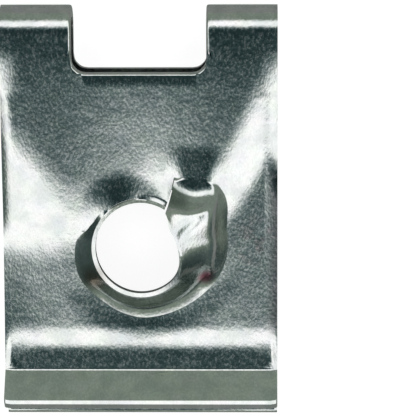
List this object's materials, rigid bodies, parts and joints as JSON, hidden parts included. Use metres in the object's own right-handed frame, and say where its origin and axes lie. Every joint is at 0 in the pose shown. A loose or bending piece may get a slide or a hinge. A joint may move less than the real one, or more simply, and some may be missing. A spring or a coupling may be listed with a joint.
{
  "type": "u clip speed nut",
  "caption": "Folded spring steel clip that slides over a panel edge and holds a sheet metal screw in a pressed one-turn thread.",
  "frame": {"origin": "where the screw's axis meets the outer face of the back leg, which the clip lies on", "axes": "+X across the strip, +Y towards the fold, +Z along the screw's axis from the back leg to the pressed thread"},
  "size_m": [0.0116, 0.0176, 0.0034],
  "materials": {
    "zinc_plate": "bright zinc plate over spring steel, fine satin grain"
  },
  "bodies": {
    "root": {"clip": "zinc_plate"}
  },
  "joints": []
}
